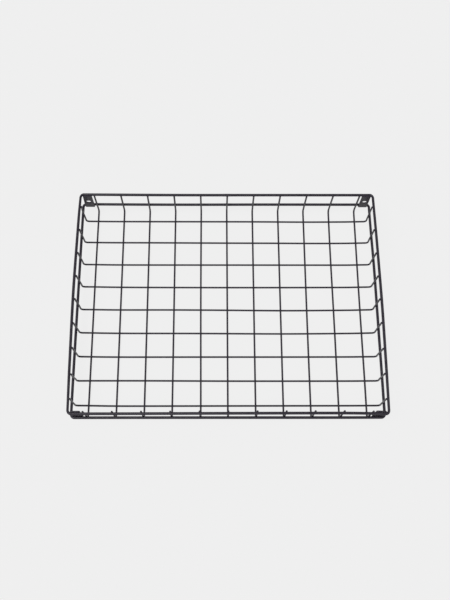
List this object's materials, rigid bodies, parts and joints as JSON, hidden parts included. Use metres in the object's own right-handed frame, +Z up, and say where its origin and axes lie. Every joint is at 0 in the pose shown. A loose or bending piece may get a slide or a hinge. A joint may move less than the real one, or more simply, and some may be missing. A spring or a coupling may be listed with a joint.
{
  "type": "tennis ball basket",
  "caption": "Shallow rectangular basket of welded black wire with a double rim and drilled corner plates, which holds a single layer of tennis balls.",
  "frame": {"origin": "centre of the underside of the floor, on the surface the basket stands on", "axes": "+X along the basket's length, +Y from its front wall to its back wall, +Z up out of its open top"},
  "size_m": [0.6, 0.45, 0.075],
  "materials": {
    "black_powder_coat": "satin black powder coat on steel"
  },
  "bodies": {
    "root": {"upper_rim": "black_powder_coat", "lower_rim": "black_powder_coat", "long_wire_1": "black_powder_coat", "long_wire_2": "black_powder_coat", "long_wire_3": "black_powder_coat", "long_wire_4": "black_powder_coat", "long_wire_5": "black_powder_coat", "long_wire_6": "black_powder_coat", "long_wire_7": "black_powder_coat", "long_wire_8": "black_powder_coat", "long_wire_9": "black_powder_coat", "cross_wire_1": "black_powder_coat", "cross_wire_2": "black_powder_coat", "cross_wire_3": "black_powder_coat", "cross_wire_4": "black_powder_coat", "cross_wire_5": "black_powder_coat", "cross_wire_6": "black_powder_coat", "cross_wire_7": "black_powder_coat", "cross_wire_8": "black_powder_coat", "cross_wire_9": "black_powder_coat", "cross_wire_10": "black_powder_coat", "cross_wire_11": "black_powder_coat", "front_left_bracket": "black_powder_coat", "front_right_bracket": "black_powder_coat", "back_left_bracket": "black_powder_coat", "back_right_bracket": "black_powder_coat"}
  },
  "joints": []
}
